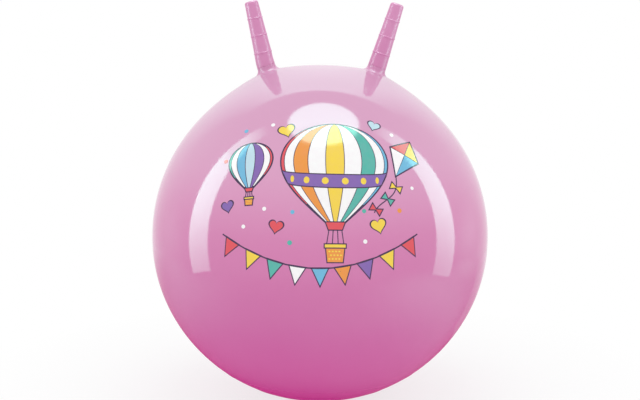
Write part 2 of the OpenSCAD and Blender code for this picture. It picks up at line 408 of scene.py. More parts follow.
class Wiring:
    """Short calls that add and link the nodes of one tree."""

    def __init__(self, tree):
        self.tree = tree

    def feed(self, node, values):
        """Sets or links the inputs of a node."""
        for socket, value in values.items():
            if isinstance(value, bpy.types.NodeSocket):
                self.tree.links.new(value, node.inputs[socket])
            else:
                node.inputs[socket].default_value = value

    def add(self, kind, values=None, **settings):
        """Adds a node, sets its attributes and feeds its inputs."""
        node = self.tree.nodes.new(kind)
        for name, value in settings.items():
            setattr(node, name, value)
        self.feed(node, values or {})
        return node

    def range(self, value, low, high, to_low, to_high):
        """Maps a value from one range to another and stops at the ends."""
        values = {"Value": value, "From Min": low, "From Max": high, "To Min": to_low, "To Max": to_high}
        return self.add("ShaderNodeMapRange", values).outputs["Result"]

    def noise(self, vector, scale, detail=2.0, roughness=0.5):
        """Soft noise from 0 to 1."""
        values = {"Vector": vector, "Scale": scale, "Detail": detail, "Roughness": roughness}
        return self.add("ShaderNodeTexNoise", values).outputs["Fac"]

    def maths(self, operation, a, b):
        """One sum on two values."""
        return self.add("ShaderNodeMath", {0: a, 1: b}, operation=operation).outputs[0]

    def vectors(self, operation, *vectors):
        """One sum on vectors, which gives a vector or, for LENGTH, a value."""
        outputs = self.add("ShaderNodeVectorMath", dict(enumerate(vectors)), operation=operation).outputs
        return outputs["Value" if operation == "LENGTH" else "Vector"]

    def ramp(self, share, stops, smooth=True):
        """Runs through colours placed at shares from 0 to 1."""
        node = self.add("ShaderNodeValToRGB", {"Fac": share})
        scale = node.color_ramp
        scale.interpolation = "CARDINAL" if smooth else "LINEAR"
        while len(scale.elements) < len(stops):
            scale.elements.new(1.0)
        for element, (place, rgb) in zip(scale.elements, stops):
            element.position = place
            element.color = opaque(rgb)
        return node.outputs["Color"]

    def mix(self, share, a, b):
        """Mixes two colours."""
        values = {MIX_SHARE: share, MIX_FIRST: a, MIX_SECOND: b}
        return self.add("ShaderNodeMix", values, data_type="RGBA").outputs[MIX_RESULT]


def opaque(rgb):
    """A colour with full alpha."""
    return (*rgb, 1.0)


# Spans of noise that run from no cloud or grain to full cloud or grain
CLOUD_SPAN = (0.35, 0.65)
GRAIN_SPAN = (0.3, 0.7)
GRAIN_DEPTH = 0.2 * MM


def surface_group(name, cloud_scale, grain_scale):
    """A node group that clouds a colour and gives roughness and height, built when it is first asked for."""
    if name in bpy.data.node_groups:
        return bpy.data.node_groups[name]
    group = bpy.data.node_groups.new(name, "ShaderNodeTree")
    sockets = (
        ("Colour", "INPUT", "NodeSocketColor"),
        ("Cloud colour", "INPUT", "NodeSocketColor"),
        ("Cloudiness", "INPUT", "NodeSocketFloat"),
        ("Smoothest", "INPUT", "NodeSocketFloat"),
        ("Roughest", "INPUT", "NodeSocketFloat"),
        ("Colour", "OUTPUT", "NodeSocketColor"),
        ("Roughness", "OUTPUT", "NodeSocketFloat"),
        ("Height", "OUTPUT", "NodeSocketFloat"),
    )
    for label, direction, kind in sockets:
        group.interface.new_socket(label, in_out=direction, socket_type=kind)
    w = Wiring(group)
    given = w.add("NodeGroupInput").outputs
    place = w.add("ShaderNodeTexCoord").outputs["Object"]
    cloud = w.noise(place, cloud_scale, detail=3.0)
    grain = w.noise(place, grain_scale, detail=2.0)
    share = w.maths("MULTIPLY", w.range(cloud, *CLOUD_SPAN, 0.0, 1.0), given["Cloudiness"])
    blended = w.range(grain, *GRAIN_SPAN, 0.0, 1.0)
    span = w.maths("SUBTRACT", given["Roughest"], given["Smoothest"])
    w.add("NodeGroupOutput", {
        "Colour": w.mix(share, given["Colour"], given["Cloud colour"]),
        "Roughness": w.maths("ADD", given["Smoothest"], w.maths("MULTIPLY", span, blended)),
        "Height": grain,
    })
    return group


def new_material(name):
    """A new material, its wiring and its Principled shader."""
    material = bpy.data.materials.new(name)
    material.use_nodes = True
    material.node_tree.nodes.clear()
    w = Wiring(material.node_tree)
    shader = w.add("ShaderNodeBsdfPrincipled")
    w.add("ShaderNodeOutputMaterial", {"Surface": shader.outputs[0]})
    return material, w, shader


def dress(w, shader, group, colours, cloudiness, smoothest, roughest, bump):
    """Feeds a Principled shader from a surface group; colours are the main and the cloud colour."""
    main, cloud = colours
    surface = w.add("ShaderNodeGroup", {
        "Colour": main, "Cloud colour": cloud, "Cloudiness": cloudiness,
        "Smoothest": smoothest, "Roughest": roughest,
    }, node_tree=group).outputs
    relief = w.add("ShaderNodeBump", {
        "Height": surface["Height"], "Strength": bump, "Distance": GRAIN_DEPTH,
    }).outputs
    w.feed(shader, {
        "Base Color": surface["Colour"], "Roughness": surface["Roughness"], "Normal": relief["Normal"],
    })


def vinyl_group():
    """Clouding and orange peel of moulded soft vinyl."""
    return surface_group("Moulded vinyl", cloud_scale=9.0, grain_scale=900.0)


VINYL_IOR = 1.47
# Shares of the ball's height at which its six colours of painted light stand, from the base up
PAINTED_LIGHT_SHARES = (0.04, 0.13, 0.33, 0.58, 0.74, 0.95)
# Distances from a collar's axis between which its satin finish runs out into the ball's gloss
COLLAR_NEAR = 15 * MM
COLLAR_FAR = 21 * MM
COLLAR_TINT = 0.6
# Least and greatest roughness
BALL_ROUGHNESS = (0.05, 0.09)
COLLAR_ROUGHNESS = (0.26, 0.36)
YELLOWING = 0.85
INK_COVER = 0.9


def collar_share(w, place, height, form):
    """Share that runs from 0 on the plain ball to 1 on its collars."""
    out = w.vectors("SUBTRACT", place, form.centre)
    away = [w.vectors("LENGTH", w.vectors("CROSS_PRODUCT", out, axis)) for axis in form.collar_axes]
    near = w.range(w.maths("MINIMUM", *away), COLLAR_NEAR, COLLAR_FAR, 1.0, 0.0)
    upper_half = w.maths("GREATER_THAN", height, form.centre_z)
    return w.maths("MULTIPLY", near, upper_half)


def ball_vinyl(colours, form):
    """Glossy vinyl whose colour, as painted light, deepens towards the base and pales towards the top, with
    satin collars in the horns' colour.
    """
    material, w, shader = new_material("ball_vinyl")
    place = w.add("ShaderNodeTexCoord").outputs["Object"]
    height = w.add("ShaderNodeSeparateXYZ", {"Vector": place}).outputs["Z"]
    share = w.range(height, 0.0, form.centre_z + form.radius, 0.0, 1.0)
    painted_light_bands = (
        colours.ball_base, colours.ball_low, colours.ball_lower,
        colours.ball_middle, colours.ball_upper, colours.ball_top,
    )
    # Painted light: paler towards the top as a painted sheen of the light from above, deeper towards the base
    # as painted light through the vinyl and against the shade under the ball
    depth = w.ramp(share, list(zip(PAINTED_LIGHT_SHARES, painted_light_bands)))
    collar = collar_share(w, place, height, form)
    skin = w.mix(w.maths("MULTIPLY", collar, COLLAR_TINT), depth, opaque(colours.horn))
    smoothest, roughest = (
        w.range(collar, 0.0, 1.0, glossy, satin) for glossy, satin in zip(BALL_ROUGHNESS, COLLAR_ROUGHNESS)
    )
    dress(
        w, shader, vinyl_group(), (skin, opaque(colours.ball_top)),
        cloudiness=0.06, smoothest=smoothest, roughest=roughest, bump=0.02,
    )
    w.feed(shader, {"IOR": VINYL_IOR})
    return material


def horn_vinyl(colours):
    """Thicker vinyl of the horns, with a satin surface."""
    material, w, shader = new_material("horn_vinyl")
    pair = opaque(colours.horn), opaque(colours.horn_pale)
    dress(w, shader, vinyl_group(), pair, cloudiness=0.5, smoothest=0.28, roughest=0.37, bump=0.03)
    w.feed(shader, {"IOR": VINYL_IOR})
    return material


def valve_plastic(colours):
    """Off-white moulded plastic of the valve."""
    material, w, shader = new_material("valve_plastic")
    pair = opaque(colours.valve), opaque(v * YELLOWING for v in colours.valve)
    group = surface_group("Moulded plastic", cloud_scale=160.0, grain_scale=2400.0)
    dress(w, shader, group, pair, cloudiness=0.4, smoothest=0.3, roughest=0.45, bump=0.12)
    return material


def print_ink(colours, ink):
    """Screen-printed ink under the same gloss as the vinyl."""
    material, w, shader = new_material(f"ink_{ink}")
    main = getattr(colours, f"ink_{ink}")
    thin = (v * INK_COVER + p * (1 - INK_COVER) for v, p in zip(main, colours.ball_middle))
    group = surface_group("Screen print", cloud_scale=120.0, grain_scale=1800.0)
    dress(
        w, shader, group, (opaque(main), opaque(thin)),
        cloudiness=0.5, smoothest=0.07, roughest=0.14, bump=0.03,
    )
    w.feed(shader, {"IOR": VINYL_IOR})
    return material


GRID_SIDES = 192
GRID_STEP = math.radians(2.25)
RING_STEPS = 10
# Half widths of a base ring within which the grid's own steps are left out
RING_CLEAR = 1.2
PATCH_SIDES = 96
# Angle from a collar's axis to the edge of its patch, and the further angle that the grid is opened by
PATCH_EDGE = math.radians(8.0)
PATCH_CLEAR = math.radians(0.9)
SHOULDER_STEPS = 6
FLARE_STEPS = 14
GROOVE_STEPS = 5
INNER_STEPS = 8
STITCH_TOLERANCE = 1e-9
# How near a place lies to a surface that it counts as on
ON_SURFACE = 1e-6
# Share of the ball's diameter below which it is no longer plain
BASE_SHARE = 1 / 8


def ball_profile(form):
    """Section of the wall from the top, down outside, round the valve hole and up inside."""
    sizes = form.sizes
    hole = form.under_angle(sizes.valve_hole / 2)
    half_ring = sizes.ring_width / 2 / form.radius
    steps = round((math.pi - hole) / GRID_STEP)
    plain = [
        polar for polar in spaced(hole, math.pi, steps)
        if all(abs(polar - ring) > RING_CLEAR * half_ring for ring in form.ring_angles)
    ]
    raised = []
    for ring in form.ring_angles:
        raised += spaced(ring - half_ring, ring + half_ring, RING_STEPS)
    outside = [form.outside(polar) for polar in sorted(plain + raised, reverse=True)]
    inside = [form.inside(polar) for polar in spaced(hole, math.pi, steps)]
    outside[0] = (0, form.radius)
    inside[-1] = (0, form.inner_radius)
    return outside + inside


def collar_profile(form, horn):
    """Section of a collar from the ball's outside, up the flare, over the joint and down its bore."""
    sizes = form.sizes
    side = horn.root_diameter / 2
    bore = sizes.collar_bore / 2
    joint = form.radius + sizes.collar_height
    groove = horn.joint_groove
    fillet, centre_r, centre_h = form.flare(side)
    foot_r, foot_h = form.shoulder(sizes.flare_polar, form.radius)
    turn = math.atan2(foot_h - centre_h, foot_r - centre_r)
    flare = arc(centre_r, centre_h, fillet, turn, -math.pi, FLARE_STEPS)
    shoulder_polars = spaced(PATCH_EDGE, sizes.flare_polar, SHOULDER_STEPS)[:-1]
    shoulder = [form.shoulder(polar, form.radius) for polar in shoulder_polars]
    edge = arc(side - groove, joint - groove, groove, 0, math.pi / 2, GROOVE_STEPS)
    inner_polars = spaced(math.asin(bore / form.inner_radius), PATCH_EDGE, INNER_STEPS)
    inner = [form.shoulder(polar, form.inner_radius) for polar in inner_polars]
    return shoulder + flare + edge + [(bore, joint)] + inner


def open_hole(bm, place, form, outer):
    """Opens the grid's outer or inner surface round a collar's axis and returns the hole's edge in order."""
    to_axis = place.inverted()
    middle = (form.radius + form.inner_radius) / 2

    def on_surface(vert):
        out = vert.co - form.centre
        return (out.length - form.swell(out.normalized()) > middle) == outer

    near = [
        face for face in bm.faces
        if all(on_surface(v) for v in face.verts)
        and min(off_axis(to_axis @ v.co) for v in face.verts) < PATCH_EDGE + PATCH_CLEAR
    ]
    rim_verts = {v for face in near for v in face.verts}
    bmesh.ops.delete(bm, geom=near, context="FACES")
    rim_verts = {v for v in rim_verts if v.is_valid}
    following = {}
    for vert in rim_verts:
        following[vert] = [
            edge.other_vert(vert) for edge in vert.link_edges
            if edge.is_boundary and edge.other_vert(vert) in rim_verts
        ]
    start = min(rim_verts, key=lambda v: tuple(v.co))
    loop = [start]
    previous = None
    while True:
        step = next(v for v in following[loop[-1]] if v is not previous)
        if step is start:
            return loop
        previous = loop[-1]
        loop.append(step)


def stitch(bm, ring, loop, place):
    """Fills the strip of sphere between a collar patch's edge ring and the hole in the grid."""
    to_axis = place.inverted()

    def chart(vert):
        local = to_axis @ vert.co
        flat = math.hypot(local.x, local.y)
        polar = off_axis(local)
        return Vector((local.x / flat * polar, local.y / flat * polar))

    verts = ring + loop
    points = [chart(v) for v in verts]
    edges = [(i, (i + 1) % len(ring)) for i in range(len(ring))]
    edges += [(len(ring) + i, len(ring) + (i + 1) % len(loop)) for i in range(len(loop))]
    hole = [tuple(p) for p in points[len(ring):]]
    flat, _, faces, origin, _, _ = delaunay_2d_cdt(points, edges, [], 0, STITCH_TOLERANCE)
    for face in faces:
        picks = [origin[i][0] for i in face]
        in_ring = all(i < len(ring) for i in picks)
        if not in_ring and in_polygon(middle_of(face, flat), hole):
            bm.faces.new([verts[i] for i in picks])


def swell_out(verts, form):
    """Moves the upper half of the round grid out to the swollen shape."""
    for vert in verts:
        out = vert.co - form.centre
        if out.z > 0:
            vert.co += out.normalized() * form.swell(out.normalized())


def swell_patch(rings, place, form):
    """Moves a collar's foot out with the swell of the other collar and leaves its joint where it is."""
    to_axis = place.inverted()
    joint = form.radius + form.sizes.collar_height
    foot = form.shoulder(form.sizes.flare_polar, form.radius)[1]
    for vert in (v for ring in rings for v in ring):
        local = to_axis @ vert.co
        direction = (vert.co - form.centre).normalized()
        own = form.shoulder_rise(off_axis(local))
        share = clamped((joint - local.z) / (joint - foot))
        vert.co += direction * (form.swell(direction) - own) * share


def true_normals(mesh, form):
    """Gives the plain stretches of the ball the normals of the true curved surface."""
    normals = []
    for vert in mesh.vertices:
        out = Vector(vert.co) - form.centre
        direction = out.normalized()
        round_reach = out.length - form.swell(direction)
        plain = vert.co.z > form.sizes.ball_diameter * BASE_SHARE
        if plain and abs(round_reach - form.radius) < ON_SURFACE:
            normals.append(form.swell_normal(direction))
        elif plain and abs(round_reach - form.inner_radius) < ON_SURFACE:
            normals.append(-form.swell_normal(direction))
        else:
            normals.append(Vector(vert.normal))
    mesh.normals_split_custom_set_from_vertices(normals)


class HOPPER_OT_ball_skin(bpy.types.Operator):
    """Builds the ball's wall with its collars, base rings and valve hole"""

    bl_idname = "hopper_ball.ball_skin"
    bl_label = "Ball skin"

    def execute(self, context):
        scene = context.scene
        form = BallForm(scene.hopper_ball)
        bm = bmesh.new()
        revolve(bm, ball_profile(form), GRID_SIDES, form.place)
        swell_out(bm.verts, form)
        for side in (LEFT, RIGHT):
            place = form.collar_place(side)
            holes = [open_hole(bm, place, form, outer) for outer in (True, False)]
            rings = revolve(bm, collar_profile(form, scene.hopper_horn), PATCH_SIDES, place)
            swell_patch(rings, place, form)
            for ring, hole in zip((rings[0], rings[-1]), holes):
                stitch(bm, ring, hole, place)
        material = ball_vinyl(scene.hopper_colours, form)
        piece = new_piece(bm, "ball_skin", material, ("ball_shell",))
        true_normals(piece.data, form)
        return {"FINISHED"}


HORN_SIDES = 72
TIP_STEPS = 8
CROWN_STEPS = 5
PLAIN_STEPS = 8
BEAD_STEPS = 12


def horn_profile(horn):
    """Section of a horn from the middle of its tip, down outside, round the spigot and up inside."""
    root = horn.root_diameter / 2
    tip = horn.tip_diameter / 2
    slope = (tip - root) / horn.length
    pitch = (horn.length - horn.bead_first) / horn.bead_count
    beads = [horn.bead_first + pitch * i for i in range(horn.bead_count)]
    groove = horn.joint_groove
    half_bead = horn.bead_width / 2

    def side(z):
        rises = (bead_rise(abs(z - bead) / half_bead, horn.bead_height) for bead in beads)
        return root + slope * z + sum(rises)

    taper = math.atan(-slope)
    round_z = horn.length - horn.tip_crown - horn.tip_round
    round_r = root + slope * round_z - horn.tip_round / math.cos(taper)
    edge = arc(round_r, round_z, horn.tip_round, math.pi / 2, taper, TIP_STEPS)
    crown_shares = spaced(0, 1, CROWN_STEPS)[1:-1]
    crown = [(round_r * share, horn.length - horn.tip_crown * share**2) for share in crown_shares]
    stops = [groove, *beads, edge[-1][1]]
    heights = []
    for low, high in zip(stops, stops[1:]):
        start = low + (half_bead if low in beads else 0)
        end = high - (half_bead if high in beads else 0)
        heights += spaced(start, end, PLAIN_STEPS)[:-1]
        if high in beads:
            heights += spaced(high - half_bead, high + half_bead, BEAD_STEPS)[:-1]
    outside = [(side(z), z) for z in reversed(heights)]
    foot = arc(root - groove, groove, groove, 0, -math.pi / 2, GROOVE_STEPS)[1:]
    spigot = horn.spigot_diameter / 2
    spigot_bore = spigot - horn.spigot_wall
    end = horn.length - horn.wall
    cavity = [root + slope * z - horn.wall for z in (horn.foot, end)]
    inner = [
        (spigot, 0.0), (spigot, -horn.spigot_length), (spigot_bore, -horn.spigot_length),
        (spigot_bore, horn.foot), (cavity[0], horn.foot), (cavity[1], end), (0, end),
    ]
    return [(0, horn.length), *crown, *edge, *outside, *foot, *inner]


def make_horn(context, name, side, droop, material):
    """One horn, leaning by droop and sheared at its foot to lie flat on its collar."""
    scene = context.scene
    horn = scene.hopper_horn
    form = BallForm(scene.hopper_ball)
    joint = form.radius + scene.hopper_ball.collar_height
    place = form.collar_place(side) @ Matrix.Translation((0, 0, joint))
    lean = Matrix.Rotation(-side * droop, 4, "Y")
    bm = bmesh.new()
    revolve(bm, horn_profile(horn), HORN_SIDES, Matrix.Identity(4))
    blend_height = horn.bead_first
    for vert in bm.verts:
        leaning = lean @ vert.co
        share = clamped(vert.co.z / blend_height)
        vert.co = place @ (vert.co.lerp(leaning, share) if share < 1 else leaning)
    return new_piece(bm, name, material, (name.replace("_grip", "_horn"),))


class HOPPER_OT_horns(bpy.types.Operator):
    """Builds both horns with their beads, rounded tips and spigots"""

    bl_idname = "hopper_ball.horns"
    bl_label = "Horns"

    def execute(self, context):
        horn = context.scene.hopper_horn
        material = horn_vinyl(context.scene.hopper_colours)
        make_horn(context, "left_grip", LEFT, horn.left_droop, material)
        make_horn(context, "right_grip", RIGHT, horn.right_droop, material)
        return {"FINISHED"}


class PrintPlane:
    """Lays flat drawings, in millimetres across and up from the print's middle, on the front of the ball."""

    def __init__(self, form, elevation):
        self.form = form
        self.middle = Vector((0, -math.cos(elevation), math.sin(elevation)))
        self.across = Vector((1, 0, 0))
        self.up = Vector((0, math.sin(elevation), math.cos(elevation)))

    def direction(self, u, v):
        """Direction from the ball's middle to a place on the drawing."""
        flat = math.hypot(u, v)
        if flat == 0:
            return self.middle.copy()
        turn = flat * MM / self.form.radius
        return self.middle * math.cos(turn) + (self.across * u + self.up * v) * (math.sin(turn) / flat)

    def lift(self, direction, height):
        """Place at a height above the ball's surface."""
        return self.form.centre + direction * (self.form.radius + self.form.swell(direction) + height)


def signed_area(shape):
    """Area of a closed shape, above 0 if it runs anticlockwise."""
    pairs = zip(shape, shape[1:] + shape[:1])
    return sum(u0 * v1 - u1 * v0 for (u0, v0), (u1, v1) in pairs) / 2


# Least share of a corner's mitre that is kept, so that sharp corners don't run out
MITRE_LIMIT = 0.35


def grown(shape, by):
    """A closed shape with its edges moved outwards."""
    if signed_area(shape) < 0:
        shape = shape[::-1]
    wider = []
    for before, here, after in zip(shape[-1:] + shape[:-1], shape, shape[1:] + shape[:1]):
        first = Vector((here[1] - before[1], before[0] - here[0])).normalized()
        second = Vector((after[1] - here[1], here[0] - after[0])).normalized()
        mitre = (first + second) / max(1 + first.dot(second), MITRE_LIMIT)
        wider.append((here[0] + mitre.x * by, here[1] + mitre.y * by))
    return wider


def ribbon(path, width):
    """A closed shape of even width along an open path."""
    sides = [[], []]
    for before, here, after in zip(path[:1] + path[:-1], path, path[1:] + path[-1:]):
        ahead = Vector((after[0] - before[0], after[1] - before[1])).normalized()
        for side, sign in zip(sides, (-1, 1)):
            side.append((here[0] + sign * ahead.y * width / 2, here[1] - sign * ahead.x * width / 2))
    return sides[0] + sides[1][::-1]


def oval(u, v, half_u, half_v, steps):
    """An oval round a place."""
    turns = [2 * math.pi * i / steps for i in range(steps)]
    return [(u + half_u * math.cos(t), v + half_v * math.sin(t)) for t in turns]


def placed(shape, u, v, degrees=0.0, scale=1.0):
    """A shape turned and scaled about its origin, then moved."""
    c = math.cos(math.radians(degrees)) * scale
    s = math.sin(math.radians(degrees)) * scale
    return [(u + c * a - s * b, v + s * a + c * b) for a, b in shape]


class Drawing:
    """Closed shapes of ink, each with its layer, lowest first."""

    def __init__(self, outline):
        self.outline = outline
        self.shapes = []

    def fill(self, ink, layer, shape):
        """Adds a plain shape."""
        self.shapes.append((ink, layer, shape))

    def lined(self, ink, layer, shape):
        """Adds a shape on a wider dark shape that shows as its outline."""
        self.fill("outline", layer, grown(shape, self.outline))
        self.fill(ink, layer + 1, shape)


# Shares of a balloon: where its envelope is widest, from the top, and the width of its neck
WIDEST_SHARE = 0.4
NECK_SHARE = 0.17
ENVELOPE_STEPS = 14
BELT_STEPS = 30


class Envelope:
    """Outline of a hot-air balloon's envelope, hung from its top."""

    def __init__(self, u, top, half, tall):
        self.u, self.top, self.half, self.tall = u, top, half, tall
        rounded = [WIDEST_SHARE * (1 - math.cos(t)) for t in spaced(0, math.pi / 2, ENVELOPE_STEPS)]
        self.shares = rounded + spaced(WIDEST_SHARE, 1, ENVELOPE_STEPS)[1:]

    def half_width(self, share):
        """Half width at a share of the height, from 0 at the top to 1 at the neck."""
        if share < WIDEST_SHARE:
            return self.half * math.sqrt(1 - (1 - share / WIDEST_SHARE) ** 2)
        turn = (share - WIDEST_SHARE) / (1 - WIDEST_SHARE) * math.pi / 2
        return self.half * (NECK_SHARE + (1 - NECK_SHARE) * math.cos(turn))

    def point(self, turn, share, shift=0.0):
        """Place at an angle round the balloon and a share of its height."""
        return self.u + self.half_width(share) * math.sin(turn) + shift, self.top - self.tall * share

    def whole(self):
        """The whole envelope."""
        quarter = math.pi / 2
        left = [self.point(-quarter, share) for share in self.shares]
        return left + [self.point(quarter, share) for share in reversed(self.shares[1:])]

    def gore(self, turn_from, turn_to, gap):
        """One gore, narrowed so that a gap of dark ink shows beside it."""
        left, right = [], []
        for share in self.shares:
            near = self.point(turn_from, share, gap / 2)
            far = self.point(turn_to, share, -gap / 2)
            if far[0] - near[0] > gap:
                left.append(near)
                right.append(far)
        return left + right[::-1]

    def belt(self, share_from, share_to, bow):
        """A band round the envelope that bows down in the middle."""
        turns = spaced(-math.pi / 2, math.pi / 2, BELT_STEPS)
        low = [self.point(t, share_to + bow * math.cos(t)) for t in turns]
        return low + [self.point(t, share_from + bow * math.cos(t)) for t in reversed(turns)]


DOT_STEPS = 20
# Widths of fine dark lines, as shares of the outline's width
GORE_LINE = 0.7
ROPE_LINE = 0.8
PANEL_LINE = 0.35
STRING_LINE = 1.2
HEART_LINE = 2.6


def draw_balloon(drawing, envelope, inks):
    """A hot-air balloon with striped gores and a basket."""
    drawing.fill("outline", 0, grown(envelope.whole(), drawing.outline))
    turns = spaced(-math.pi / 2, math.pi / 2, len(inks))
    gap = drawing.outline * GORE_LINE
    for ink, turn_from, turn_to in zip(inks, turns, turns[1:]):
        drawing.fill(ink, 1, envelope.gore(turn_from, turn_to, gap))
    draw_basket(drawing, envelope)


# Skirt, ropes and basket, as shares of the half width of the balloon's neck
SKIRT_TALL = 0.75
HEM_HALF = 0.72
ROPE_PLACES = (-0.68, -0.23, 0.23, 0.68)
ROPE_SPREAD = 1.4
ROPE_TALL = 1.7
BASKET_TALL = 1.75
BASKET_FOOT_HALF = 0.82
RIM_HALF = 1.12
RIM_BELOW = 0.2
RIM_ABOVE = 0.12
WEAVE_ROWS = 3
WEAVE_COLUMNS = 4
WEAVE_ACROSS = 0.36
WEAVE_SHIFT = 0.09
WEAVE_FIRST = 0.62
WEAVE_DOWN = 0.4
WEAVE_HALF = (0.12, 0.09)
WEAVE_STEPS = 12
# Growth of the basket's edge in millimetres
BASKET_GROWTH = 0.1


def draw_basket(drawing, envelope):
    """The skirt, the ropes and the woven basket under a balloon."""
    half = envelope.half * NECK_SHARE
    neck = envelope.top - envelope.tall
    hem = neck - half * SKIRT_TALL
    rim = hem - half * ROPE_TALL
    foot = rim - half * BASKET_TALL

    def band(low, low_half, high, high_half):
        ends = ((-low_half, low), (low_half, low), (high_half, high), (-high_half, high))
        return [(envelope.u + half * share, v) for share, v in ends]

    drawing.lined("coral", 2, band(hem, HEM_HALF, neck, 1))
    for place in ROPE_PLACES:
        rope = [(envelope.u + half * place, hem), (envelope.u + half * place * ROPE_SPREAD, rim)]
        drawing.fill("outline", 0, ribbon(rope, drawing.outline * ROPE_LINE))
    drawing.lined("orange", 1, grown(band(foot, BASKET_FOOT_HALF, rim, 1), BASKET_GROWTH))
    rim_band = band(rim - half * RIM_BELOW, RIM_HALF, rim + half * RIM_ABOVE, RIM_HALF)
    drawing.lined("yellow", 3, rim_band)
    for row in range(WEAVE_ROWS):
        shift = WEAVE_SHIFT if row % 2 else -WEAVE_SHIFT
        v = rim - half * (WEAVE_FIRST + WEAVE_DOWN * row)
        for column in range(WEAVE_COLUMNS):
            u = envelope.u + half * (WEAVE_ACROSS * (column - (WEAVE_COLUMNS - 1) / 2) + shift)
            drawing.fill("yellow", 3, oval(u, v, half * WEAVE_HALF[0], half * WEAVE_HALF[1], WEAVE_STEPS))


# Band round a balloon: shares of its height, bow, and the turns and size of its dots
BELT_FROM = 0.50
BELT_TO = 0.62
BELT_BOW = 0.05
BELT_DOTS = (-60, -36, -12, 12, 36, 60)
BELT_DOT_SIZE = 0.065


def draw_belt(drawing, envelope):
    """A dotted band round a balloon."""
    drawing.lined("violet", 2, envelope.belt(BELT_FROM, BELT_TO, BELT_BOW))
    size = envelope.half * BELT_DOT_SIZE
    for degrees in BELT_DOTS:
        turn = math.radians(degrees)
        u, v = envelope.point(turn, (BELT_FROM + BELT_TO) / 2 + BELT_BOW * math.cos(turn))
        drawing.fill("yellow", 4, oval(u, v, size * math.cos(turn), size, DOT_STEPS))


# Kite in millimetres: half width, height of its cross spar, top and bottom
KITE_HALF = 23
KITE_SPAR = 8
KITE_TOP = 34
KITE_BOTTOM = -30
# Its tail: points, step down, wave to each side and points in one radian of the wave
TAIL_POINTS = 25
TAIL_STEP = 2.6
TAIL_WAVE = 7
TAIL_RADIAN = 5
# Bows: ink and number of the tail's point, half length, half height, and sway in degrees
BOWS = (("yellow", 6), ("teal", 14), ("coral", 22))
BOW_HALF = 7.5
BOW_TALL = 4.2
BOW_SWAY = 12


def draw_kite(drawing, u, v, degrees):
    """A four-panel kite with a waving tail and three bows."""
    middle = (0, KITE_SPAR)
    top, bottom = (0, KITE_TOP), (0, KITE_BOTTOM)
    left, right = (-KITE_HALF, KITE_SPAR), (KITE_HALF, KITE_SPAR)
    tail = [
        (TAIL_WAVE * math.sin(i / TAIL_RADIAN), KITE_BOTTOM - TAIL_STEP * i) for i in range(TAIL_POINTS)
    ]
    drawing.fill("outline", 0, placed(ribbon(tail, drawing.outline), u, v, degrees))
    for ink, i in BOWS:
        for side in (LEFT, RIGHT):
            bow = [(0, 0), (side * BOW_HALF, BOW_TALL), (side * BOW_HALF, -BOW_TALL)]
            swaying = placed(bow, *tail[i], BOW_SWAY * math.cos(i / TAIL_RADIAN))
            drawing.lined(ink, 1, placed(swaying, u, v, degrees))
    sail = [top, left, bottom, right]
    drawing.fill("outline", 3, placed(grown(sail, drawing.outline), u, v, degrees))
    for ink, first, second in zip(("coral", "white", "sky", "yellow"), sail, sail[1:] + sail[:1]):
        panel_shape = grown([middle, first, second], -drawing.outline * PANEL_LINE)
        drawing.fill(ink, 4, placed(panel_shape, u, v, degrees))


# Pennant in millimetres, hung from the string at its origin
PENNANT = [(-10.5, 0), (0, -23), (10.5, 0)]
STRING_STEPS = 48


def draw_bunting(drawing, half, ends, sag, inks):
    """A sagging string of pennants."""
    def string(u):
        return ends - sag * (1 - (u / half) ** 2)

    pitch = 2 * half / len(inks)
    for i, ink in enumerate(inks):
        u = -half + pitch * (i + 0.5)
        lean = math.degrees(math.atan(2 * sag * u / half**2))
        drawing.lined(ink, 0, placed(PENNANT, u, string(u), lean))
    path = [(u, string(u)) for u in spaced(-half, half, STRING_STEPS)]
    drawing.fill("outline", 2, ribbon(path, drawing.outline * STRING_LINE))


HEART_STEPS = 40


def heart_shape():
    """The common heart curve, whose lobes are 32 wide, scaled to a width of 1."""
    shape = []
    for i in range(HEART_STEPS):
        t = 2 * math.pi * i / HEART_STEPS
        lobes = 13 * math.cos(t) - 5 * math.cos(2 * t) - 2 * math.cos(3 * t) - math.cos(4 * t)
        shape.append((math.sin(t) ** 3 / 2, lobes / 32))
    return shape


def draw_heart(drawing, ink, u, v, size, degrees):
    """A small heart."""
    heart = heart_shape()
    drawing.fill("outline", 0, placed(heart, u, v, degrees, size + HEART_LINE * drawing.outline))
    drawing.fill(ink, 1, placed(heart, u, v, degrees, size))


# Ink, place across and up in millimetres, size, and turn in degrees
HEARTS = (
    ("yellow", -46, 100, 22, 14), ("coral", -58, -38, 18, -12), ("pale_blue", 76, 112, 17, -18),
    ("yellow", 78, -36, 20, 16), ("violet", -128, -6, 17, 10),
)
# Ink, place across and up, and radius in millimetres
DOTS = (
    ("white", -66, 112, 3.0), ("sky", -106, 108, 3.2), ("white", 102, 100, 3.0), ("coral", -134, 62, 3.2),
    ("white", -74, -14, 2.8), ("teal", -40, -60, 3.2), ("white", 60, -58, 2.8), ("orange", 108, -14, 3.2),
    ("white", -104, -36, 2.8), ("sky", -36, -20, 2.8), ("white", 128, 20, 2.6), ("teal", 58, -18, 2.8),
)
MAIN_GORES = ("coral", "white", "orange", "white", "yellow", "white", "teal", "white", "sky")
SMALL_GORES = ("teal", "white", "sky", "pale_blue", "violet", "white", "coral")
PENNANTS = ("coral", "yellow", "teal", "white", "sky", "orange", "violet", "yellow", "coral")


def draw_front(outline):
    """The whole print: two hot-air balloons, a kite, bunting, hearts and dots."""
    drawing = Drawing(outline)
    main_balloon = Envelope(u=20, top=108, half=72, tall=142)
    draw_balloon(drawing, main_balloon, MAIN_GORES)
    draw_belt(drawing, main_balloon)
    draw_balloon(drawing, Envelope(u=-96, top=84, half=32, tall=68), SMALL_GORES)
    draw_kite(drawing, u=116, v=62, degrees=-24)
    draw_bunting(drawing, half=136, ends=-44, sag=50, inks=PENNANTS)
    for heart in HEARTS:
        draw_heart(drawing, *heart)
    for ink, u, v, size in DOTS:
        drawing.fill(ink, 0, oval(u, v, size, size, DOT_STEPS))
    return drawing.shapes


